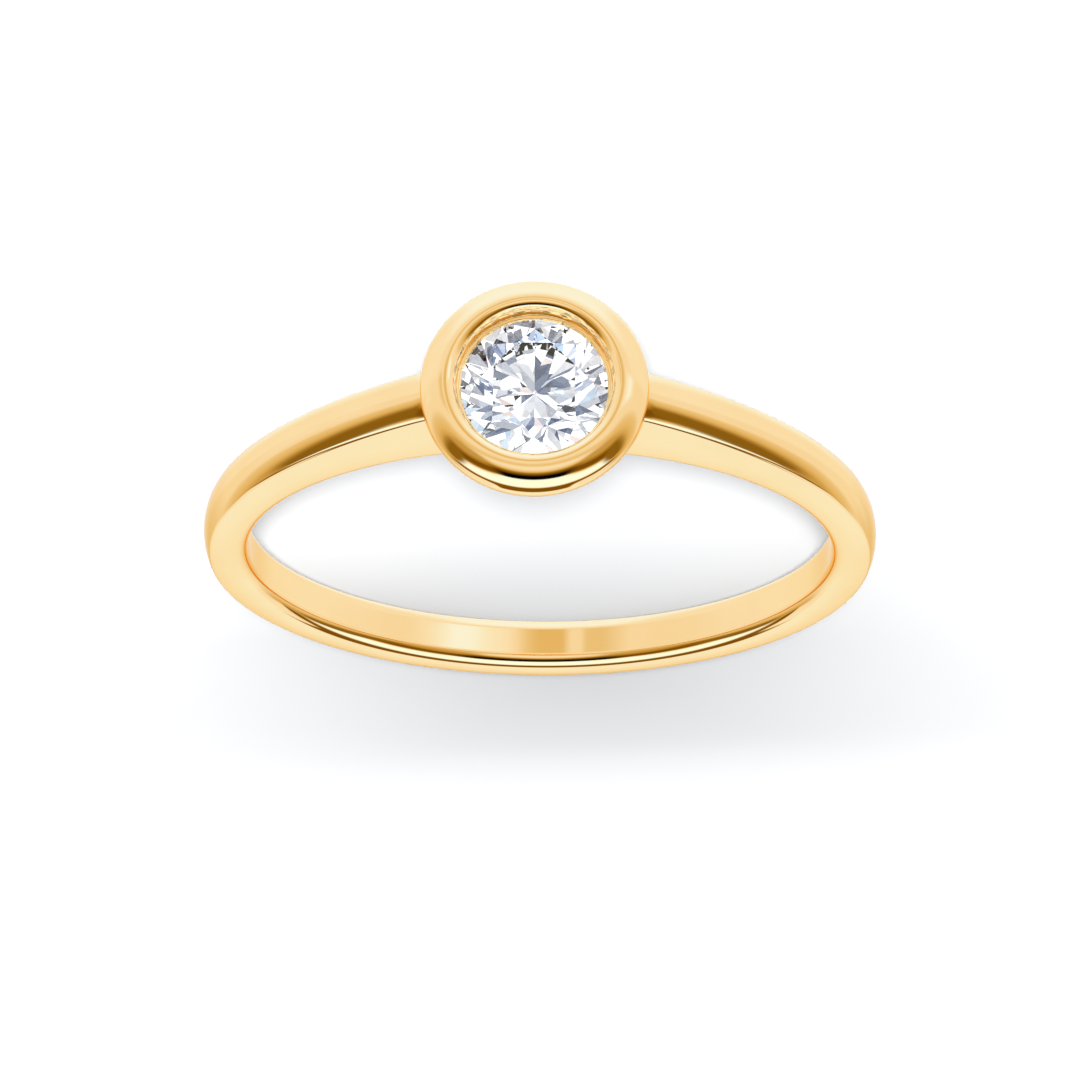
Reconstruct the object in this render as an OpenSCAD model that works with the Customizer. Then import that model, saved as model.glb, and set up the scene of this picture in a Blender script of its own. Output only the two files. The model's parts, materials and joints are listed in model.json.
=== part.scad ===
// A finger ring with one round stone in a rolled bezel, lying on its side as it rests on a table.
// The band's shoulders rise to the bezel. Band and bezel are one piece of gold; the stone is the second piece.
// The ring is first made about its own middle: X across the finger, -Y towards the stone, Z along the finger.
// It is then tipped until the bezel's rim and the far edge of the band both touch the table at Z = 0.

/* [Band] */
// Diameter of the finger hole
finger_d = 17; // [16.2:0.1:18.6]
// Width of the band along the finger
band_w = 1.55; // [1.4:0.05:1.8]
// Thickness of the band away from the shoulders, at its crown
band_t = 1.3; // [1.2:0.02:1.5]
// How far the outside swells across the band's width
crown_rise = 0.14; // [0.08:0.01:0.2]
// Radius of the two outer edges
outer_edge_r = 0.12; // [0.08:0.01:0.16]
// Radius of the two inner edges, for comfort
inner_edge_r = 0.38; // [0.2:0.01:0.42]

/* [Shoulders] */
// Extra thickness that the shoulder's curve would reach under the stone
shoulder_rise = 2.65; // [2.3:0.05:2.8]
// Angle round the band over which a shoulder runs out
shoulder_span = 90; // [80:1:100]
// Greatest thickness, which the bezel hides
shoulder_cap = 2.8; // [2.7:0.05:2.85]
// How much rounder the outside is on the shoulders than round the back
shoulder_dome = 0.15; // [0:0.01:0.2]

/* [Bezel] */
// Outer diameter of the bezel's roll
bezel_d = 6.24; // [6.1:0.02:6.4]
// Diameter of the circle along the roll's crest
crest_d = 4.8; // [4.7:0.02:4.9]
// Diameter of the bezel's mouth, inside the roll
mouth_d = 4.24; // [4.2:0.02:4.3]
// Height of the crest above the middle of the finger hole
crest_h = 11.98; // [11.9:0.02:12.1]
// Diameter of the cup at its foot, next to the finger
cup_foot_d = 4; // [3.8:0.05:4.2]
// Clearance between the cup's foot and the finger hole
cup_clear = 0.35; // [0.3:0.05:0.6]
// Diameter of the light hole under the stone
light_d = 0.9; // [0.7:0.05:1]

/* [Stone] */
// Diameter of the stone at its girdle
stone_d = 4.2; // [4.16:0.02:4.22]
// Width of the table as a share of the diameter
table_share = 0.57; // [0.54:0.01:0.6]
// Slope of the crown's main facets in degrees
crown_angle = 34.5; // [33:0.5:35.5]
// Slope of the pavilion's main facets in degrees
pavilion_angle = 40.75; // [40.25:0.25:41.25]
// Thickness of the girdle
girdle_t = 0.09; // [0.06:0.01:0.12]
// Depth of the girdle's upper edge below the bezel's crest
stone_drop = 0.77; // [0.74:0.01:0.8]
// Clearance between stone and gold
seat_gap = 0.03; // [0.02:0.01:0.03]

/* [Hidden] */

$fn = 96;
finger_r = finger_d / 2;
half_w = band_w / 2;

// Band section, as points of distance along the finger and distance from the finger's axis
section_count = 96;
crown_steps = 6;
outer_edge_angles = [60, 30, 0];
inner_edge_angles = [0, -26, -52, -76];
// The shoulders' rounder crown is full up to the first angle from the stone and gone by the second
dome_from = 45;
dome_to = 90;
// The section reaches this far inside the finger hole, which then cuts it true
bore_overlap = 0.2;
bore_length = 4 * band_w;

// Bezel and cup, as points of distance from the stone's axis and height above the ring's middle
crest_r = crest_d / 2;
mouth_r = mouth_d / 2;
outer_roll_r = bezel_d / 2 - crest_r;
inner_roll_r = crest_r - mouth_r;
outer_roll_h = crest_h - outer_roll_r;
inner_roll_h = crest_h - inner_roll_r;
cup_foot_r = cup_foot_d / 2;
cup_foot_h = finger_r + cup_clear;
cup_foot_bevel = 0.1;
cup_top_r = crest_r + 0.14 * outer_roll_r;
cup_top_h = outer_roll_h - 0.92 * outer_roll_r;
cup_core_r = light_d / 4;

// Round brilliant, as eight equal sectors about its own axis, with its girdle's upper edge at height 0
SECTORS = 8;
SECTOR = 360 / SECTORS;
HALF = SECTOR / 2;
STAR_SHARE = 0.5;
LOWER_SHARE = 0.78;
girdle_r = stone_d / 2;
table_r = table_share * girdle_r;
table_flat_r = table_r * cos(HALF);
table_z = (girdle_r - table_r) * tan(crown_angle);
star_r = table_flat_r + STAR_SHARE * (girdle_r - table_flat_r);
star_z = (girdle_r - star_r * cos(HALF)) * tan(crown_angle);
lower_r = (1 - LOWER_SHARE) * girdle_r;
lower_z = -girdle_t - (girdle_r - lower_r * cos(HALF)) * tan(pavilion_angle);
culet_z = -girdle_t - girdle_r * tan(pavilion_angle);
stone_h = crest_h - stone_drop;

// Seat under the stone, and the lip that is rubbed over its edge
lip_r = girdle_r - 0.1;
lip_t = 0.06;
lip_top_h = stone_h + 3.2 * lip_t;
pocket_r = girdle_r + seat_gap;
lip_slope = star_z / (girdle_r - star_r);
lip_h = stone_h + (girdle_r - lip_r) * lip_slope + seat_gap;
seat_h = stone_h - girdle_t - 1.7 * seat_gap;
light_r = light_d / 2;
seat_foot_h = seat_h - (pocket_r - light_r) * tan(pavilion_angle);
pocket_top_h = crest_h + 0.5;

// Tip that lays the bezel's roll and the band's far outer edge on one plane
far_edge_r = finger_r + band_t - crown_rise - outer_edge_r;
run = outer_roll_h + far_edge_r;
rise = crest_r - half_w + outer_edge_r;
tip = atan2(rise, run) + asin((outer_roll_r - outer_edge_r) / norm([run, rise]));
lift = crest_r * cos(tip) + outer_roll_r - outer_roll_h * sin(tip);

// Places of the ring's near and far ends, which the origin halves
crown_arc_r = (half_w * half_w + crown_rise * crown_rise) / (2 * crown_rise);
crown_arc_h = finger_r + band_t - crown_arc_r;
near_end = outer_roll_h * cos(tip) + crest_r * sin(tip) + outer_roll_r;
far_end = crown_arc_h * cos(tip) + crown_arc_r;

// Thickness of the band at an angle round from the stone, up to 180
function thickness(angle) =
    min(shoulder_cap, band_t + shoulder_rise * pow(max(0, 1 - angle / shoulder_span), 3));

// How much rounder the crown is at an angle round from the stone, up to 180
function doming(angle) =
    let (share = min(1, max(0, (dome_to - angle) / (dome_to - dome_from))))
    shoulder_dome * share * share * (3 - 2 * share);

// Points raised by a swell that is full at the crown and runs out at the two sides
function raised(list, swell) = [for (p = list) [p[0], p[1] + swell * (1 - pow(p[0] / half_w, 2))]];

// One side of a section's edges: an arc from a centre, mirrored where side is -1
function edge(side, along, out, r, angles) =
    [for (a = angles) [side * (along + r * cos(a)), out + r * sin(a)]];

// A list in the other direction
function turned(list) = [for (i = [len(list) - 1:-1:0]) list[i]];

// The band's section for one thickness and doming, from the crown round the two sides to the finger hole
function section(t, dome) =
    let (crown_r = finger_r + t)
    let (crown_half = half_w - outer_edge_r)
    let (crown = [for (i = [0:crown_steps])
        let (f = crown_half * (1 - 2 * i / crown_steps))
        [f, crown_r - crown_rise * pow(f / half_w, 2)]])
    let (outer = crown_r - crown_rise - outer_edge_r)
    let (inner = finger_r + inner_edge_r)
    let (inner_half = half_w - inner_edge_r)
    let (last = inner_half + inner_edge_r * cos(inner_edge_angles[3]))
    let (front = concat(
        raised(edge(1, crown_half, outer, outer_edge_r, outer_edge_angles), dome),
        edge(1, inner_half, inner, inner_edge_r, inner_edge_angles)))
    let (back = concat(
        raised(edge(-1, crown_half, outer, outer_edge_r, outer_edge_angles), dome),
        edge(-1, inner_half, inner, inner_edge_r, inner_edge_angles)))
    concat(raised(crown, dome), back, [[-last, finger_r - bore_overlap], [last, finger_r - bore_overlap]], turned(front));

// A closed band of sections at equal angles, each a loop of the same number of points
module sweep_round(sections) {
    count = len(sections);
    loop = len(sections[0]);
    points = [for (i = [0:count - 1])
        let (a = 360 * i / count)
        for (p = sections[i]) [p[1] * sin(a), -p[1] * cos(a), p[0]]];
    faces = [for (i = [0:count - 1])
        let (here = i * loop, next = ((i + 1) % count) * loop)
        for (j = [0:loop - 1])
        let (k = (j + 1) % loop)
        each [[here + j, next + k, here + k], [here + j, next + j, next + k]]];
    polyhedron(points = points, faces = faces, convexity = 6);
}

// The band with its shoulders, before the finger hole is cut
module band_blank() {
    step = 360 / section_count;
    sweep_round([for (i = [0:section_count - 1])
        let (angle = min(i, section_count - i) * step)
        section(thickness(angle), doming(angle))]);
}

// Outline of the bezel and the cup below it, before the stone's pocket is cut
module bezel_outline() {
    intersection() {
        translate([crest_r, outer_roll_h]) circle(r = outer_roll_r);
        translate([crest_r, cup_foot_h]) square([bezel_d, crest_h]);
    }
    intersection() {
        translate([crest_r, inner_roll_h]) circle(r = inner_roll_r);
        translate([0, cup_foot_h]) square([crest_r, crest_h]);
    }
    polygon([
        [cup_core_r, cup_foot_h],
        [cup_foot_r - cup_foot_bevel, cup_foot_h],
        [cup_foot_r, cup_foot_h + cup_foot_bevel],
        [cup_top_r, cup_top_h],
        [cup_top_r, outer_roll_h],
        [crest_r, inner_roll_h],
        [cup_core_r, inner_roll_h]
    ]);
}

// Outline of the pocket: light hole, seat, girdle, lip and mouth
module pocket_outline() {
    polygon([
        [0, 0.5 * finger_r],
        [light_r, 0.5 * finger_r],
        [light_r, seat_foot_h],
        [pocket_r, seat_h],
        [pocket_r, stone_h + seat_gap],
        [lip_r, lip_h],
        [lip_r, lip_h + lip_t],
        [lip_r + lip_t, lip_top_h],
        [mouth_r, lip_top_h],
        [mouth_r, inner_roll_h],
        [lip_r, pocket_top_h],
        [0, pocket_top_h]
    ]);
}

// Stands a shape that was turned about Z on the stone's axis
module towards_stone() {
    rotate([90, 0, 0]) children();
}

// Lays the ring down, with its box centred on the origin
module laid_down() {
    translate([0, (near_end - far_end) / 2, lift]) rotate([-tip, 0, 0]) children();
}

module band_and_bezel() {
    color("gold")
    laid_down()
    difference() {
        union() {
            band_blank();
            towards_stone() rotate_extrude() bezel_outline();
        }
        translate([0, 0, -bore_length / 2]) cylinder(r = finger_r, h = bore_length);
        towards_stone() rotate_extrude() pocket_outline();
    }
}

// A point of the stone at a distance from its axis, an angle in sectors and a height
function stone_point(r, turn, z) = [r * cos(turn * SECTOR), r * sin(turn * SECTOR), z];

// A round brilliant: table, stars, mains and halves above the girdle, mains and halves below it
module brilliant() {
    rim = 2 * SECTORS;
    table_at = 0;
    star_at = SECTORS;
    upper_at = 2 * SECTORS;
    under_at = upper_at + rim;
    lower_at = under_at + rim;
    culet_at = lower_at + SECTORS;
    last = SECTORS - 1;
    points = concat(
        [for (i = [0:last]) stone_point(table_r, i, table_z)],
        [for (i = [0:last]) stone_point(star_r, i + 0.5, star_z)],
        [for (i = [0:rim - 1]) stone_point(girdle_r, i / 2, 0)],
        [for (i = [0:rim - 1]) stone_point(girdle_r, i / 2, -girdle_t)],
        [for (i = [0:last]) stone_point(lower_r, i + 0.5, lower_z)],
        [[0, 0, culet_z]]);
    facets = concat(
        [[for (i = [last:-1:0]) table_at + i]],
        [for (i = [0:last])
            let (n = (i + 1) % SECTORS)
            let (p = (i + last) % SECTORS)
            let (main = 2 * i)
            let (half = 2 * i + 1)
            let (far = 2 * n)
            each [
                [table_at + i, table_at + n, star_at + i],
                [table_at + i, star_at + i, upper_at + main, star_at + p],
                [star_at + i, upper_at + half, upper_at + main],
                [star_at + i, upper_at + far, upper_at + half],
                [upper_at + main, upper_at + half, under_at + half, under_at + main],
                [upper_at + half, upper_at + far, under_at + far, under_at + half],
                [lower_at + i, under_at + main, under_at + half],
                [lower_at + i, under_at + half, under_at + far],
                [culet_at, lower_at + p, under_at + main, lower_at + i]
            ]]);
    polyhedron(points = points, faces = facets, convexity = 2);
}

module stone() {
    color("aliceblue")
    laid_down()
    towards_stone()
    translate([0, 0, stone_h]) rotate([0, 0, HALF]) brilliant();
}

band_and_bezel();
stone();
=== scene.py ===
"""Bezel set ring: the finished look of a yellow gold ring with one round brilliant, lying on its side.

The frame gives the ring's pose through its finger hole, and the stone as it is cut.
The band and the bezel are spun here again with smooth faces, in the sizes of the solids they stand for.
"""

import json
import logging
import math
from dataclasses import dataclass
from enum import Enum

import bpy
from mathutils import Matrix, Vector


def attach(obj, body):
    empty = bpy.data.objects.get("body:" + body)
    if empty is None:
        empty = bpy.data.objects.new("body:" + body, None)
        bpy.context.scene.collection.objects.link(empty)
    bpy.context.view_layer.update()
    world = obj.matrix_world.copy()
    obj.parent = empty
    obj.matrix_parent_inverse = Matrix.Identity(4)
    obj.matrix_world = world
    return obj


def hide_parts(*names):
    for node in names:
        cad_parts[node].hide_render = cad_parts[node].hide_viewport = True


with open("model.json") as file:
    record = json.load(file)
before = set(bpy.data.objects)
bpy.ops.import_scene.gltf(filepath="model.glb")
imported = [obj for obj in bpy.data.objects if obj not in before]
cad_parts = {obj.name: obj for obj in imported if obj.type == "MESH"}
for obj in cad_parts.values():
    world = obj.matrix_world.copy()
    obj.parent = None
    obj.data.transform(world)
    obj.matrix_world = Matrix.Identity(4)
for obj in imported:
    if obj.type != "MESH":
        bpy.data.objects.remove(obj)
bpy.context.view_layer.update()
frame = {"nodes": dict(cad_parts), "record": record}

MM = 0.001
MERGE = 1e-7
QUARTER = 90.0
CREASE = 32.0
# The most reflections that light may make on its way, which the inside of the stone needs.
REFLECTIONS = 10
LOG = logging.getLogger("ring")


class Slot(Enum):
    """The record's material slots."""

    GOLD = "gold"
    STONE = "stone"


@dataclass(frozen=True)
class RingPose:
    """Where the ring lies: the middle of its finger hole and its own three directions."""

    middle: Vector
    across: Vector
    finger: Vector
    stone: Vector

    @classmethod
    def from_record(cls, record: dict) -> "RingPose":
        """Reads the pose from the finger hole's mount.

        Args:
            record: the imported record.

        Returns:
            The pose, with the stone's direction square to the finger's.
        """
        bore = next(m for m in record["mounts"] if m["name"] == "finger_bore")
        across = Vector((1, 0, 0))
        finger = Vector(bore["axis"]).normalized()
        return cls(Vector(bore["pos_m"]), across, finger, across.cross(finger))

    def direction(self, across: float, finger: float, stone: float) -> Vector:
        """Returns a direction given in the ring's own three directions."""
        return self.across * across + self.finger * finger + self.stone * stone


class Lathe:
    """Draws an outline beside an axis, point by point and arc by arc, and spins it into a solid.

    A place on the outline is (out, along) in millimetres: away from the axis, and along it.
    """

    def __init__(self, name: str, middle: Vector, axis: Vector, outward: Vector) -> None:
        """Keeps the axis that the outline is spun about.

        Args:
            name: the finished piece's name.
            middle: a point of the axis.
            axis: the axis's direction.
            outward: the direction in which the outline is drawn.
        """
        self.name = name
        self.middle = middle
        self.axis = axis
        self.outward = outward
        self.tip = (0.0, 0.0)

    def at(self, out: float, along: float) -> Vector:
        """Returns a place on the outline as a point in the room."""
        return self.middle + (self.outward * out + self.axis * along) * MM

    def begin(self, out: float, along: float) -> None:
        """Starts the outline as one vertex, from a small plane that is merged."""
        bpy.ops.object.select_all(action="DESELECT")
        bpy.ops.mesh.primitive_plane_add(size=MM, location=self.at(out, along))
        bpy.context.object.name = self.name
        bpy.ops.object.mode_set(mode="EDIT")
        bpy.ops.mesh.merge(type="CENTER")
        self.tip = (out, along)

    def line(self, out: float, along: float, hold: float = 0.0) -> None:
        """Draws a straight stretch.

        Args:
            out: the end's distance from the axis.
            along: the end's place along the axis.
            hold: length at each end that gets a vertex of its own, to keep the flat flat.
        """
        start = Vector(self.tip)
        end = Vector((out, along))
        ahead = (end - start).normalized() * hold
        stops = [start + ahead, end - ahead, end] if hold else [end]
        for stop in stops:
            step = self.at(*stop) - self.at(*self.tip)
            bpy.ops.mesh.extrude_vertices_move(TRANSFORM_OT_translate={"value": step})
            self.tip = tuple(stop)

    def arc(self, out: float, along: float, degrees: float, steps: int) -> None:
        """Draws an arc by spinning the tip about a centre.

        Args:
            out: the centre's distance from the axis.
            along: the centre's place along the axis.
            degrees: how far it turns, from outward towards the axis's direction.
            steps: how many edges it has.
        """
        turn = math.radians(degrees)
        bpy.ops.mesh.spin(
            steps=steps, angle=turn, center=self.at(out, along), axis=self.axis.cross(self.outward)
        )
        gone = Vector(self.tip) - Vector((out, along))
        gone.rotate(Matrix.Rotation(turn, 2))
        self.tip = (out + gone.x, along + gone.y)

    def spin(self, steps: int) -> bpy.types.Object:
        """Spins the whole outline once round the axis and closes its seam and poles.

        Args:
            steps: how many sections there are.

        Returns:
            The finished solid, with its place in its mesh.
        """
        bpy.ops.mesh.select_all(action="SELECT")
        bpy.ops.mesh.spin(steps=steps, angle=math.tau, center=self.middle, axis=self.axis)
        bpy.ops.mesh.select_all(action="SELECT")
        bpy.ops.mesh.remove_doubles(threshold=MERGE)
        bpy.ops.mesh.normals_make_consistent(inside=False)
        bpy.ops.object.mode_set(mode="OBJECT")
        bpy.ops.object.transform_apply(location=True, rotation=True, scale=True)
        return bpy.context.object


class Value:
    """A number's socket in a shader, with the operators of arithmetic."""

    def __init__(self, shader: "Shader", socket: bpy.types.NodeSocket) -> None:
        """Keeps the socket and the shader that new nodes go into."""
        self.shader = shader
        self.socket = socket

    def maths(self, operation: str, *others: "Value | float") -> "Value":
        """Returns the result of a Math node on this value and the others."""
        node = self.shader.node("ShaderNodeMath", {"operation": operation}, [self, *others])
        return Value(self.shader, node.outputs[0])

    def __add__(self, other: "Value | float") -> "Value":
        """Returns the sum."""
        return self.maths("ADD", other)

    __radd__ = __add__

    def __sub__(self, other: "Value | float") -> "Value":
        """Returns the difference."""
        return self.maths("SUBTRACT", other)

    def __rsub__(self, other: float) -> "Value":
        """Returns the difference from a number."""
        return (self * -1.0) + other

    def __mul__(self, other: "Value | float") -> "Value":
        """Returns the product."""
        return self.maths("MULTIPLY", other)

    __rmul__ = __mul__

    def smooth(self, low: float, high: float) -> "Value":
        """Returns 0 below low and 1 above high, with a smooth step between them."""
        node = self.shader.node(
            "ShaderNodeMapRange",
            {"interpolation_type": "SMOOTHSTEP"},
            {"Value": self, "From Min": low, "From Max": high},
        )
        return Value(self.shader, node.outputs[0])


class Shader:
    """A material's or the world's node tree, emptied and ready to be filled."""

    def __init__(self, tree: bpy.types.NodeTree) -> None:
        """Empties the tree."""
        self.tree = tree
        tree.nodes.clear()

    def node(
        self, kind: str, settings: dict | None = None, inputs: "dict | list | None" = None
    ) -> bpy.types.Node:
        """Adds a node.

        Args:
            kind: the node's type.
            settings: its properties; a ramp's stops are given as "stops".
            inputs: values or links for its sockets, by name or in order.

        Returns:
            The new node.
        """
        made = self.tree.nodes.new(kind)
        for name, setting in (settings or {}).items():
            if name == "stops":
                self.fill_ramp(made.color_ramp, setting)
            else:
                setattr(made, name, setting)
        pairs = enumerate(inputs) if isinstance(inputs, list) else (inputs or {}).items()
        for key, given in pairs:
            if isinstance(given, Value):
                self.tree.links.new(given.socket, made.inputs[key])
            elif isinstance(given, bpy.types.NodeSocket):
                self.tree.links.new(given, made.inputs[key])
            else:
                made.inputs[key].default_value = given
        return made

    @staticmethod
    def fill_ramp(ramp: bpy.types.ColorRamp, stops: list[tuple[float, tuple]]) -> None:
        """Gives a ramp its stops, each a place from 0 to 1 and a colour."""
        while len(ramp.elements) > 1:
            ramp.elements.remove(ramp.elements[-1])
        for index, (place, colour) in enumerate(stops):
            stop = ramp.elements[0] if index == 0 else ramp.elements.new(place)
            stop.position = place
            stop.color = (*colour, 1.0)

    def value(self, node: bpy.types.Node, output: "str | int" = 0) -> Value:
        """Returns one of a node's outputs as a value."""
        return Value(self, node.outputs[output])

    def place(self) -> bpy.types.NodeSocket:
        """Returns the place on the piece, in the room's metres."""
        return self.node("ShaderNodeTexCoord").outputs["Object"]

    def noise(
        self, place: bpy.types.NodeSocket, scale: float, detail: float = 2.0, roughness: float = 0.5
    ) -> Value:
        """Adds a cloudy noise.

        Args:
            place: the coordinates that it follows.
            scale: how many clouds there are to a metre.
            detail: how many finer clouds lie on each.
            roughness: how strong the finer clouds are.

        Returns:
            The noise, from 0 to 1.
        """
        inputs = {"Vector": place, "Scale": scale, "Detail": detail, "Roughness": roughness}
        return self.value(self.node("ShaderNodeTexNoise", None, inputs))

    def mix(self, factor: "Value | float", first: object, second: object) -> bpy.types.NodeSocket:
        """Mixes two colours.

        Args:
            factor: the second colour's share.
            first: a colour or its socket.
            second: a colour or its socket.

        Returns:
            The mixed colour's socket.
        """
        node = self.node("ShaderNodeMix", {"data_type": "RGBA"}, {0: factor, 6: first, 7: second})
        return node.outputs[2]


def new_material(name: str) -> tuple[bpy.types.Material, Shader]:
    """Returns a new material and its empty shader."""
    material = bpy.data.materials.new(name)
    material.use_nodes = True
    return material, Shader(material.node_tree)


@dataclass(frozen=True)
class PolishedGold:
    """Yellow gold, polished by hand: a soft waviness, fine polishing lines and faint clouds of colour."""

    colour: tuple = (1.0, 0.72, 0.345, 1.0)
    deeper: tuple = (0.98, 0.68, 0.3, 1.0)
    deeper_share: float = 0.5
    rim: tuple = (1.0, 0.88, 0.66, 1.0)
    roughness: float = 0.055
    rougher: float = 0.03
    cloud_scale: float = 420.0
    cloud_edges: tuple = (0.35, 0.7)
    wave_scale: float = 330.0
    wave_height: float = 0.0000025
    line_scale: float = 5200.0
    line_stretch: tuple = (0.06, 0.06, 1.0)
    line_edges: tuple = (0.45, 0.75)
    line_height: float = 0.00000012

    def material(self) -> bpy.types.Material:
        """Builds the gold's material."""
        gold, shader = new_material("polished_gold")
        place = shader.place()
        clouds = shader.noise(place, self.cloud_scale, 3.0)
        waves = shader.noise(place, self.wave_scale, 1.0)
        stretched = shader.node("ShaderNodeMapping", None, {"Vector": place, "Scale": self.line_stretch})
        lines = shader.noise(stretched.outputs[0], self.line_scale, 4.0, 0.6)
        cloudy = clouds.smooth(*self.cloud_edges)
        colour = shader.mix(cloudy * self.deeper_share, self.colour, self.deeper)
        rough = self.roughness + (cloudy + lines.smooth(*self.line_edges)) * self.rougher
        soft = shader.node("ShaderNodeBump", None, {"Distance": self.wave_height, "Height": waves})
        fine = shader.node(
            "ShaderNodeBump",
            None,
            {"Distance": self.line_height, "Height": lines, "Normal": soft.outputs[0]},
        )
        metal = shader.node(
            "ShaderNodeBsdfPrincipled",
            None,
            {
                "Base Color": colour,
                "Metallic": 1.0,
                "Roughness": rough,
                "Specular Tint": self.rim,
                "Normal": fine.outputs[0],
            },
        )
        shader.node("ShaderNodeOutputMaterial", None, {"Surface": metal.outputs[0]})
        return gold


@dataclass(frozen=True)
class ClearStone:
    """The colourless stone: high refraction, with the faintest cold haze inside."""

    refraction: float = 2.417
    clear: tuple = (1.0, 1.0, 1.0, 1.0)
    haze: tuple = (0.955, 0.97, 1.0, 1.0)
    haze_scale: float = 900.0
    haze_edges: tuple = (0.4, 0.65)
    sheen: tuple = (0.5, 0.56, 0.68, 1.0)

    def material(self) -> bpy.types.Material:
        """Builds the stone's material."""
        stone, shader = new_material("clear_stone")
        hazy = shader.noise(shader.place(), self.haze_scale).smooth(*self.haze_edges)
        glass = shader.node(
            "ShaderNodeBsdfPrincipled",
            None,
            {
                "Base Color": shader.mix(hazy, self.clear, self.haze),
                "Roughness": 0.0,
                "IOR": self.refraction,
                "Transmission Weight": 1.0,
                "Specular Tint": self.sheen,
            },
        )
        shader.node("ShaderNodeOutputMaterial", None, {"Surface": glass.outputs[0]})
        return stone


@dataclass(frozen=True)
class PaleFloor:
    """The plain pale surface that the ring lies on."""

    colour: tuple = (0.9, 0.9, 0.9, 1.0)
    shade: tuple = (0.88, 0.88, 0.885, 1.0)
    grain_scale: float = 12.0

    def material(self) -> bpy.types.Material:
        """Builds the floor's material."""
        paper, shader = new_material("pale_floor")
        grain = shader.noise(shader.place(), self.grain_scale)
        colour = shader.mix(grain, self.colour, self.shade)
        matt = shader.node("ShaderNodeBsdfDiffuse", None, {"Color": colour})
        shader.node("ShaderNodeOutputMaterial", None, {"Surface": matt.outputs[0]})
        return paper


def select_only(piece: bpy.types.Object) -> None:
    """Selects a piece alone and makes it the active one."""
    bpy.ops.object.select_all(action="DESELECT")
    piece.select_set(True)
    bpy.context.view_layer.objects.active = piece


def finish_piece(piece: bpy.types.Object, material: bpy.types.Material) -> None:
    """Shades a piece, gives it its material and joins it to the frame.

    Args:
        piece: the finished mesh.
        material: its finish.
    """
    select_only(piece)
    bpy.ops.object.shade_smooth_by_angle(angle=math.radians(CREASE))
    piece.data.materials.clear()
    piece.data.materials.append(material)
    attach(piece, "root")
    LOG.info("%s: %d faces", piece.name, len(piece.data.polygons))


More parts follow.
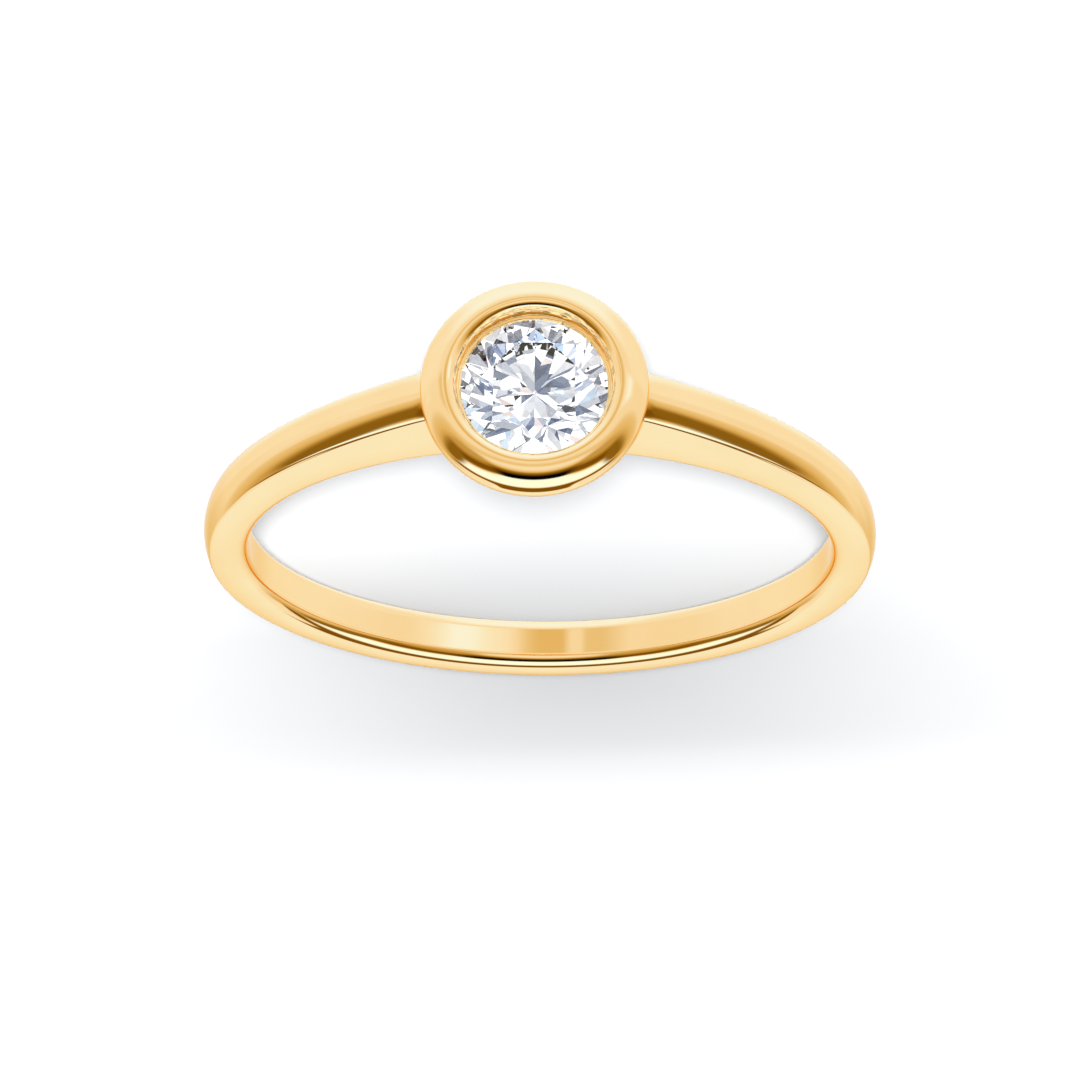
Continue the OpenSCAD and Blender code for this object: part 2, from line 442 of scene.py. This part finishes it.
@dataclass
class Bezel:
    """The rolled bezel, its mouth and lip, the stone's seat and the cup below. Sizes in millimetres.

    A wave of the lip's edge is its count round the lip, its start and its size. A nick is its place
    round the lip and its width in degrees, and its depth.
    """

    pose: RingPose
    crest_r: float = 2.4
    mouth_r: float = 2.12
    outer_roll_r: float = 0.72
    crest_h: float = 11.98
    roll_turn: float = 173.0
    cup_foot_r: float = 2.0
    cup_foot_h: float = 8.85
    cup_foot_bevel: float = 0.1
    light_r: float = 0.45
    girdle_r: float = 2.1
    stone_h: float = 11.21
    girdle_t: float = 0.09
    seat_gap: float = 0.03
    seat_drop: float = 0.051
    pavilion_angle: float = 40.75
    crown_angle: float = 34.5
    lip_r: float = 2.0
    lip_top_h: float = 11.402
    lip_edge_r: float = 0.045
    lip_corner_r: float = 0.05
    cup_hold: float = 0.08
    mouth_hold: float = 0.02
    ripple: float = 0.012
    waves: tuple = ((5, 1.0, 0.007), (13, 0.0, 0.005))
    nicks: tuple = (
        (118, 3.0, 0.05),
        (42, 2.5, 0.04),
        (196, 3.5, 0.05),
        (237, 2.5, 0.04),
        (292, 3.0, 0.04),
    )
    sections: int = 384
    pocket_sections: int = 64

    @property
    def inner_roll_r(self) -> float:
        """The radius of the roll's inner quarter."""
        return self.crest_r - self.mouth_r

    @property
    def pocket_r(self) -> float:
        """The radius of the pocket round the girdle."""
        return self.girdle_r + self.seat_gap

    @property
    def seat_h(self) -> float:
        """The height of the seat's upper edge."""
        return self.stone_h - self.girdle_t - self.seat_drop

    @property
    def seat_foot_h(self) -> float:
        """The height at which the seat meets the light hole."""
        return self.seat_h - (self.pocket_r - self.light_r) * math.tan(math.radians(self.pavilion_angle))

    @property
    def lip_h(self) -> float:
        """The height of the lip's underside, just over the stone's crown."""
        rise = (self.girdle_r - self.lip_r) * math.tan(math.radians(self.crown_angle))
        return self.stone_h + rise + self.seat_gap

    def lathe(self, name: str) -> Lathe:
        """Returns a lathe on the stone's axis."""
        return Lathe(name, self.pose.middle, self.pose.stone, self.pose.across)

    def build(self) -> bpy.types.Object:
        """Spins the bezel: mouth, roll, cup, foot, light hole, seat and lip in one closed outline.

        Returns:
            The bezel's mesh.
        """
        lathe = self.lathe("bezel")
        inner_roll_h = self.crest_h - self.inner_roll_r
        lathe.begin(self.mouth_r, inner_roll_h)
        lathe.arc(self.crest_r, inner_roll_h, -QUARTER, 12)
        lathe.arc(self.crest_r, self.crest_h - self.outer_roll_r, -self.roll_turn, 36)
        lathe.line(self.cup_foot_r, self.cup_foot_h + self.cup_foot_bevel, self.cup_hold)
        lathe.arc(self.cup_foot_r - self.cup_foot_bevel, self.cup_foot_h + self.cup_foot_bevel, -QUARTER, 4)
        lathe.line(self.light_r, self.cup_foot_h)
        lathe.line(self.light_r, self.seat_foot_h)
        lathe.line(self.pocket_r, self.seat_h)
        lathe.line(self.pocket_r, self.stone_h + self.seat_gap)
        lathe.line(self.lip_r, self.lip_h)
        lathe.line(self.lip_r, self.lip_top_h - self.lip_edge_r)
        lathe.arc(self.lip_r + self.lip_edge_r, self.lip_top_h - self.lip_edge_r, -QUARTER, 5)
        lathe.line(self.mouth_r - self.lip_corner_r, self.lip_top_h)
        lathe.arc(self.mouth_r - self.lip_corner_r, self.lip_top_h + self.lip_corner_r, QUARTER, 5)
        lathe.line(self.mouth_r, inner_roll_h, self.mouth_hold)
        bezel = lathe.spin(self.sections)
        self.rub_lip(bezel)
        return bezel

    def rub_lip(self, bezel: bpy.types.Object) -> None:
        """Makes the lip's edge uneven, as hand work leaves it, and gives it a few small nicks.

        The edge only moves outward, clear of the stone.
        """
        for vertex in bezel.data.vertices:
            arm = vertex.co - self.pose.middle
            up = arm.dot(self.pose.stone) / MM
            arm -= self.pose.stone * up * MM
            out = arm.length / MM
            depth = min(1.0, (self.mouth_r - out) / (self.mouth_r - self.lip_r - self.lip_edge_r))
            if self.lip_h - MERGE < up < self.lip_top_h + self.lip_corner_r and depth > 0.0:
                turn = math.atan2(arm.dot(self.pose.finger), -arm.dot(self.pose.across))
                vertex.co += arm.normalized() * self.rubbed(turn) * depth * MM

    def rubbed(self, turn: float) -> float:
        """Returns how far the lip's edge is rubbed away at a turn round the lip, in radians."""
        gone = self.ripple + sum(size * math.sin(count * turn + start) for count, start, size in self.waves)
        for place, width, size in self.nicks:
            apart = (math.degrees(turn) - place + 180.0) % 360.0 - 180.0
            gone += size * math.exp(-((apart / width) ** 2))
        return gone

    def pocket(self) -> bpy.types.Object:
        """Spins the pocket that is cut out of the band below the stone.

        Returns:
            The cutter's mesh.
        """
        lathe = self.lathe("pocket")
        low = 0.5 * self.cup_foot_h
        high = self.crest_h
        lathe.begin(0.0, low)
        lathe.line(self.light_r, low)
        lathe.line(self.light_r, self.seat_foot_h)
        lathe.line(self.pocket_r, self.seat_h)
        lathe.line(self.pocket_r, high)
        lathe.line(0.0, high)
        return lathe.spin(self.pocket_sections)


@dataclass
class Band:
    """The finger band with its two shoulders. Sizes in millimetres."""

    pose: RingPose
    finger_r: float = 8.5
    half_w: float = 0.775
    band_t: float = 1.3
    crown_rise: float = 0.14
    outer_edge_r: float = 0.12
    inner_edge_r: float = 0.38
    shoulder_rise: float = 2.65
    shoulder_span: float = 90.0
    shoulder_cap: float = 2.8
    dome: float = 0.15
    dome_from: float = 45.0
    dome_to: float = 90.0
    side_from: float = 78.0
    side_to: float = 96.0
    bore_hold: float = 0.03
    inner_steps: int = 14
    side_steps: int = 14
    edge_steps: int = 6
    crown_steps: int = 18
    sections: int = 360

    def swell(self, degrees: float) -> float:
        """Returns the shoulder's extra thickness at an angle round from the stone."""
        share = max(0.0, 1.0 - degrees / self.shoulder_span)
        return min(self.shoulder_cap - self.band_t, self.shoulder_rise * share**3)

    def build(self, pocket: bpy.types.Object) -> bpy.types.Object:
        """Spins the band's section, grows the shoulders and cuts the stone's pocket.

        Args:
            pocket: the cutter, which is used up.

        Returns:
            The band's mesh.
        """
        band = self.hoop()
        self.grow_shoulders(band)
        self.cut(band, pocket)
        return band

    def hoop(self) -> bpy.types.Object:
        """Spins the plain section about the finger's axis.

        Its sides are shallow arcs, so each is laid out from its widest place: the outer edge, the
        crown and the inner edge follow on tangents.
        """
        lathe = Lathe("band", self.pose.middle, self.pose.finger, self.pose.stone)
        first, last = math.radians(self.side_from), math.radians(self.side_to)
        edge_drop = self.crown_rise + self.outer_edge_r
        edge_out = self.finger_r + self.band_t - edge_drop
        low = self.finger_r + self.inner_edge_r * (1.0 + math.cos(last))
        high = edge_out + self.outer_edge_r * math.cos(first)
        side_r = (high - low) / (math.cos(first) - math.cos(last))
        side_out = high - side_r * math.cos(first)
        side_along = self.half_w - side_r
        edge_along = side_along + (side_r - self.outer_edge_r) * math.sin(first)
        inner_along = side_along + (side_r - self.inner_edge_r) * math.sin(last)
        inner_out = self.finger_r + self.inner_edge_r
        crown_r = (edge_along**2 + edge_drop**2 - self.outer_edge_r**2) / (2 * self.crown_rise)
        crown_out = self.finger_r + self.band_t - crown_r
        slope = math.degrees(math.asin(edge_along / (crown_r - self.outer_edge_r)))
        inner_turn = self.side_to - 2 * QUARTER
        side_turn = self.side_from - self.side_to
        edge_turn = slope - self.side_from
        lathe.begin(self.finger_r, -inner_along)
        lathe.line(self.finger_r, inner_along, self.bore_hold)
        lathe.arc(inner_out, inner_along, inner_turn, self.inner_steps)
        lathe.arc(side_out, side_along, side_turn, self.side_steps)
        lathe.arc(edge_out, edge_along, edge_turn, self.edge_steps)
        lathe.arc(crown_out, 0.0, -2 * slope, self.crown_steps)
        lathe.arc(edge_out, -edge_along, edge_turn, self.edge_steps)
        lathe.arc(side_out, -side_along, side_turn, self.side_steps)
        lathe.arc(inner_out, -inner_along, inner_turn, self.inner_steps)
        return lathe.spin(self.sections)

    def doming(self, degrees: float) -> float:
        """Returns how much rounder the crown is at an angle round from the stone."""
        share = (self.dome_to - degrees) / (self.dome_to - self.dome_from)
        share = min(1.0, max(0.0, share))
        return self.dome * share * share * (3.0 - 2.0 * share)

    def grow_shoulders(self, band: bpy.types.Object) -> None:
        """Grows each section outward: its sides with the shoulders' swell, and its crown further."""
        low = self.finger_r + self.inner_edge_r
        high = self.finger_r + self.band_t - self.crown_rise - self.outer_edge_r
        for vertex in band.data.vertices:
            arm = vertex.co - self.pose.middle
            along = arm.dot(self.pose.finger) / MM
            arm -= self.pose.finger * along * MM
            share = min(1.0, max(0.0, (arm.length / MM - low) / (high - low)))
            degrees = math.degrees(arm.angle(self.pose.stone))
            crown = share**4 * max(0.0, 1.0 - (along / self.half_w) ** 2)
            grown = self.swell(degrees) * share + self.doming(degrees) * crown
            vertex.co += arm.normalized() * grown * MM

    @staticmethod
    def cut(band: bpy.types.Object, pocket: bpy.types.Object) -> None:
        """Cuts the pocket out of the band and deletes the cutter."""
        select_only(band)
        bpy.ops.object.modifier_add(type="BOOLEAN")
        cut = band.modifiers[-1]
        cut.operation = "DIFFERENCE"
        cut.solver = "EXACT"
        cut.object = pocket
        bpy.ops.object.modifier_apply(modifier=cut.name)
        bpy.data.objects.remove(pocket)


@dataclass(frozen=True)
class PhotoView:
    """The photograph's camera, worked out from the outlines of the band and the bezel.

    Angles are in degrees, the distance and the sensor in millimetres, what it sees at all in metres.
    """

    elevation: float = 68.505
    turn: float = 2.426
    roll: float = -2.088
    distance: float = 150.0
    pixels_per_mm: float = 34.227
    photo_pixels: float = 1080.0
    sensor: float = 36.0
    nearest: float = 0.005
    farthest: float = 20.0

    def make(self, pose: RingPose) -> None:
        """Makes the camera, aimed at the middle of the finger hole.

        Args:
            pose: the ring's pose.
        """
        up, side, roll = (math.radians(a) for a in (self.elevation, self.turn, self.roll))
        flat = math.cos(up)
        toward = pose.direction(-math.sin(side) * flat, math.cos(side) * flat, math.sin(up))
        level = pose.direction(-math.cos(side), -math.sin(side), 0.0)
        upright = toward.cross(level)
        right = level * math.cos(roll) + upright * math.sin(roll)
        top = toward.cross(right)
        eye = pose.middle + toward * self.distance * MM
        bpy.ops.object.camera_add(location=eye)
        camera = bpy.context.object
        turned = Matrix((right, top, toward)).transposed().to_4x4()
        camera.matrix_world = Matrix.Translation(eye) @ turned
        camera.data.sensor_width = self.sensor
        camera.data.lens = self.pixels_per_mm * self.distance / self.photo_pixels * self.sensor
        camera.data.clip_start = self.nearest
        camera.data.clip_end = self.farthest
        bpy.context.scene.camera = camera


@dataclass(frozen=True)
class Lamp:
    """A soft light that only the floor sees, above and before the ring. Sizes in metres.

    Its elevation is in degrees, and aside is how far it stands towards +X for each metre forward.
    """

    elevation: float
    aside: float
    width: float
    height: float
    power: float
    distance: float = 0.8

    def make(self, pose: RingPose) -> None:
        """Adds the light, facing the ring's middle."""
        up = math.radians(self.elevation)
        toward = Vector((self.aside, -math.cos(up), math.sin(up))).normalized()
        bpy.ops.object.light_add(type="AREA", location=pose.middle + toward * self.distance)
        lamp = bpy.context.object
        lamp.rotation_euler = toward.to_track_quat("Z", "Y").to_euler()
        lamp.data.shape = "RECTANGLE"
        lamp.data.size = self.width
        lamp.data.size_y = self.height
        lamp.data.energy = self.power
        lamp.visible_glossy = False
        lamp.visible_camera = False
        lamp.visible_transmission = False


@dataclass(frozen=True)
class Studio:
    """Plain soft light: a long softbox overhead with dark cards before and behind it, and pale surroundings.

    A direction is told by its parts from -1 to 1: across, ahead (towards the stone) and height.
    The ceiling's tones go by how far ahead it points, those of what is low by its height, and the
    stripes round the horizon by its part across. At an edge one set of tones passes to another.
    The warm tones are named for how they look in the gold, which takes the blue out of them.
    """

    floor_size: float = 2.4
    floor_cuts: int = 3
    floor_light: float = 0.18
    gold_bounce: tuple = (0.13, 0.17, 0.3, 1.0)
    strength: float = 3.0
    patch_scale: float = 9.0
    lamps: tuple = (
        Lamp(elevation=28.0, aside=-0.015, width=0.1, height=0.1, power=8.0),
        Lamp(elevation=8.0, aside=0.1, width=2.0, height=0.07, power=44.0),
    )
    horizon: tuple = (0.22, 0.38)
    ends: tuple = (0.33, 0.5)
    tips: tuple = (0.76, 0.84)
    low_ends: tuple = (0.3, 0.65)
    behind: tuple = (-0.84, -0.6)
    stripes_foot: tuple = (-0.34, -0.29)
    stripes_top: tuple = (-0.2, -0.14)
    slant: float = 0.6
    slant_about: float = 0.65
    slant_ahead: tuple = (-0.3, 0.0)
    squeeze: float = 2.0
    squeeze_about: float = 0.47
    squeeze_aside: tuple = (0.3, 0.55)

    WHITE = (1.02, 1.38, 2.0)
    CREAM = (0.98, 1.24, 1.85)
    IVORY = (0.97, 1.13, 1.45)
    PALE = (0.97, 1.02, 1.15)
    HONEY = (0.95, 0.94, 0.97)
    SAND = (0.84, 0.74, 0.54)
    STRAW = (0.8, 0.64, 0.36)
    AMBER = (0.58, 0.41, 0.14)
    RUST = (0.42, 0.26, 0.05)
    UMBER = (0.26, 0.15, 0.015)
    BROWN = (0.2, 0.095, 0.004)
    BLACK = (0.0, 0.0, 0.0)

    CEILING = (
        (-1.0, PALE),
        (-0.97, IVORY),
        (-0.82, IVORY),
        (-0.79, STRAW),
        (-0.75, BROWN),
        (-0.47, BROWN),
        (-0.42, AMBER),
        (-0.37, IVORY),
        (-0.33, WHITE),
        (0.27, WHITE),
        (0.34, BLACK),
        (0.54, BLACK),
        (0.65, BROWN),
        (0.73, RUST),
        (0.79, STRAW),
        (0.87, HONEY),
        (0.91, PALE),
        (1.0, HONEY),
    )
    CEILING_ENDS = (
        (-1.0, PALE),
        (-0.82, HONEY),
        (-0.79, STRAW),
        (-0.75, BROWN),
        (-0.47, BROWN),
        (-0.42, AMBER),
        (-0.37, IVORY),
        (-0.33, WHITE),
        (0.04, WHITE),
        (0.1, IVORY),
        (0.16, STRAW),
        (0.24, UMBER),
        (0.3, BROWN),
        (0.46, BROWN),
        (0.55, RUST),
        (0.63, AMBER),
        (0.78, AMBER),
        (0.9, HONEY),
    )
    CEILING_TIPS = (
        (-0.62, HONEY),
        (-0.52, STRAW),
        (-0.42, AMBER),
        (-0.32, UMBER),
        (0.36, UMBER),
        (0.48, RUST),
        (0.6, STRAW),
    )
    LOW_AHEAD = (
        (-0.72, CREAM),
        (-0.55, IVORY),
        (-0.42, HONEY),
        (-0.02, HONEY),
        (0.12, SAND),
        (0.2, SAND),
        (0.28, HONEY),
    )
    LOW_ENDS = (
        (-1.0, IVORY),
        (-0.85, PALE),
        (-0.4, PALE),
        (-0.2, HONEY),
        (-0.06, HONEY),
        (0.04, SAND),
        (0.15, STRAW),
        (0.28, AMBER),
    )
    LOW_BEHIND = (
        (-1.0, IVORY),
        (-0.8, PALE),
        (-0.5, HONEY),
        (-0.3, SAND),
        (-0.06, SAND),
        (0.04, HONEY),
        (0.15, PALE),
        (0.34, IVORY),
    )
    STRIPES = (
        (-0.78, HONEY),
        (-0.7, PALE),
        (-0.62, IVORY),
        (-0.54, CREAM),
        (-0.46, CREAM),
        (-0.36, IVORY),
        (-0.22, PALE),
        (-0.17, HONEY),
        (-0.09, SAND),
        (-0.02, STRAW),
        (0.14, STRAW),
        (0.19, HONEY),
        (0.26, HONEY),
        (0.29, SAND),
        (0.4, SAND),
        (0.56, HONEY),
        (0.9, HONEY),
        (1.0, PALE),
    )

    BRIGHT = (1.5, 1.52, 1.58)
    SOFT = (0.82, 0.85, 0.92)
    ROSE = (1.0, 0.86, 0.84)
    ICE = (0.62, 0.8, 1.0)
    GREY = (0.52, 0.56, 0.65)
    COLD = (0.13, 0.17, 0.27)
    DEEP = (0.0, 0.0, 0.01)
    STONE_TONES = (
        (-1.0, BRIGHT),
        (-0.12, BRIGHT),
        (-0.1, SOFT),
        (0.22, SOFT),
        (0.24, ROSE),
        (0.27, ROSE),
        (0.29, ICE),
        (0.36, ICE),
        (0.38, GREY),
        (0.64, GREY),
        (0.66, COLD),
        (0.88, COLD),
        (0.9, DEEP),
        (1.0, DEEP),
    )

    def build(self, pose: RingPose) -> None:
        """Makes the floor, the world and the lamps."""
        self.floor()
        self.world()
        for lamp in self.lamps:
            lamp.make(pose)

    def floor(self) -> None:
        """Lays the floor, which lights the gold through the world and not by itself."""
        bpy.ops.object.select_all(action="DESELECT")
        bpy.ops.mesh.primitive_plane_add(size=self.floor_size)
        floor = bpy.context.object
        floor.name = "floor"
        bpy.ops.object.mode_set(mode="EDIT")
        bpy.ops.mesh.subdivide(number_cuts=self.floor_cuts)
        bpy.ops.object.mode_set(mode="OBJECT")
        floor.data.materials.append(PaleFloor().material())
        floor.visible_glossy = False
        floor.visible_transmission = False

    def world(self) -> None:
        """Paints the surroundings.

        The gold reflects the warm ones, the stone is seen through to the cold ones, and the camera
        sees plain white. The floor is filled by a plain light, and gets a dim one by way of the gold.
        """
        world = bpy.data.worlds.new("studio")
        world.use_nodes = True
        bpy.context.scene.world = world
        shader = Shader(world.node_tree)
        direction = shader.node("ShaderNodeTexCoord").outputs["Generated"]
        warm = shader.node("ShaderNodeBackground", None, [self.warm(shader, direction), self.strength])
        cold = shader.node("ShaderNodeBackground", None, [self.cold(shader, direction), self.strength])
        plain = shader.node("ShaderNodeBackground", None, [(1.0, 1.0, 1.0, 1.0), 1.0])
        fill = shader.node("ShaderNodeBackground", None, [(1.0, 1.0, 1.0, 1.0), self.floor_light])
        grey = shader.node("ShaderNodeBackground", None, [self.gold_bounce, 1.0])
        path = shader.node("ShaderNodeLightPath")
        bounced = shader.value(path, "Diffuse Depth").maths("GREATER_THAN", 0.5)
        choices = (
            (path.outputs["Is Transmission Ray"], cold),
            (path.outputs["Is Camera Ray"], plain),
            (bounced, fill),
            (bounced * shader.value(path, "Is Glossy Ray"), grey),
        )
        seen = warm
        for factor, other in choices:
            seen = shader.node("ShaderNodeMixShader", None, [factor, seen.outputs[0], other.outputs[0]])
        shader.node("ShaderNodeOutputWorld", None, {"Surface": seen.outputs[0]})

    def warm(self, shader: Shader, direction: bpy.types.NodeSocket) -> bpy.types.NodeSocket:
        """Paints what the gold reflects: the ceiling's softbox and cards, over low pale surroundings.

        Away from the middle the card in front leans outward, and the card behind draws in.

        Args:
            shader: the world's nodes.
            direction: the direction that is seen.

        Returns:
            The colour's socket.
        """
        parts = shader.node("ShaderNodeSeparateXYZ", None, [direction])
        across = shader.value(parts, 0)
        ahead = shader.value(parts, 1) * -1.0
        height = shader.value(parts, 2)
        aside = across.maths("ABSOLUTE")
        lean = (aside - self.slant_about) * ahead.smooth(*self.slant_ahead) * self.slant
        drawn = (ahead + self.squeeze_about).maths("MINIMUM", 0.0)
        drawn = ahead + drawn * aside.smooth(*self.squeeze_aside) * self.squeeze
        middle = self.ramp(shader, self.CEILING, drawn)
        ends = self.ramp(shader, self.CEILING_ENDS, drawn + lean)
        tips = self.ramp(shader, self.CEILING_TIPS, ahead)
        ceiling = shader.mix(aside.smooth(*self.ends), middle, ends)
        ceiling = shader.mix(aside.smooth(*self.tips), ceiling, tips)
        low_middle = self.ramp(shader, self.LOW_AHEAD, height)
        low_ends = self.ramp(shader, self.LOW_ENDS, height)
        low_behind = self.ramp(shader, self.LOW_BEHIND, height)
        stripes = self.ramp(shader, self.STRIPES, across)
        level = height.smooth(*self.stripes_foot) * (1.0 - height.smooth(*self.stripes_top))
        low = shader.mix(aside.smooth(*self.low_ends), low_middle, low_ends)
        low = shader.mix(level, low, stripes)
        low = shader.mix(ahead.smooth(*self.behind), low_behind, low)
        return shader.mix(height.smooth(*self.horizon), low, ceiling)

    def cold(self, shader: Shader, direction: bpy.types.NodeSocket) -> bpy.types.NodeSocket:
        """Paints what is seen through the stone: bright patches, cold grey ones and a few dark ones.

        Args:
            shader: the world's nodes.
            direction: the direction that is seen.

        Returns:
            The colour's socket.
        """
        inputs = {"Vector": direction, "Scale": self.patch_scale}
        cells = shader.node("ShaderNodeTexVoronoi", None, inputs)
        patch = shader.node("ShaderNodeSeparateColor", None, [cells.outputs["Color"]])
        return self.ramp(shader, self.STONE_TONES, shader.value(patch, 0) * 2.0 - 1.0)

    def ramp(self, shader: Shader, tones: tuple, place: Value) -> bpy.types.NodeSocket:
        """Colours a number from -1 to 1 by tones at places, scaled down to a ramp's range.

        Args:
            shader: the world's nodes.
            tones: places and their tones, in order.
            place: the number.

        Returns:
            The colour's socket.
        """
        stops = [(0.5 + 0.5 * at, tuple(c / self.strength for c in tone)) for at, tone in tones]
        return shader.node("ShaderNodeValToRGB", {"stops": stops}, [place * 0.5 + 0.5]).outputs[0]


def main() -> None:
    """Builds the view, the studio and the ring's pieces in order."""
    logging.basicConfig(level=logging.INFO, format="%(message)s")
    pose = RingPose.from_record(frame["record"])
    PhotoView().make(pose)
    Studio().build(pose)
    finishes = {Slot.GOLD: PolishedGold().material(), Slot.STONE: ClearStone().material()}
    bezel_work = Bezel(pose)
    bezel = bezel_work.build()
    band = Band(pose).build(bezel_work.pocket())
    for piece in (band, bezel):
        piece.visible_transmission = False
        finish_piece(piece, finishes[Slot.GOLD])
        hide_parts("band_and_bezel")
    stone = frame["nodes"]["stone"]
    for place in stone.material_slots:
        place.material = finishes[Slot.STONE]
    LOG.info("stone: %d faces", len(stone.data.polygons))
    bpy.context.scene.view_settings.view_transform = "Standard"
    bpy.context.scene.cycles.glossy_bounces = REFLECTIONS


if __name__ == "__main__":
    main()
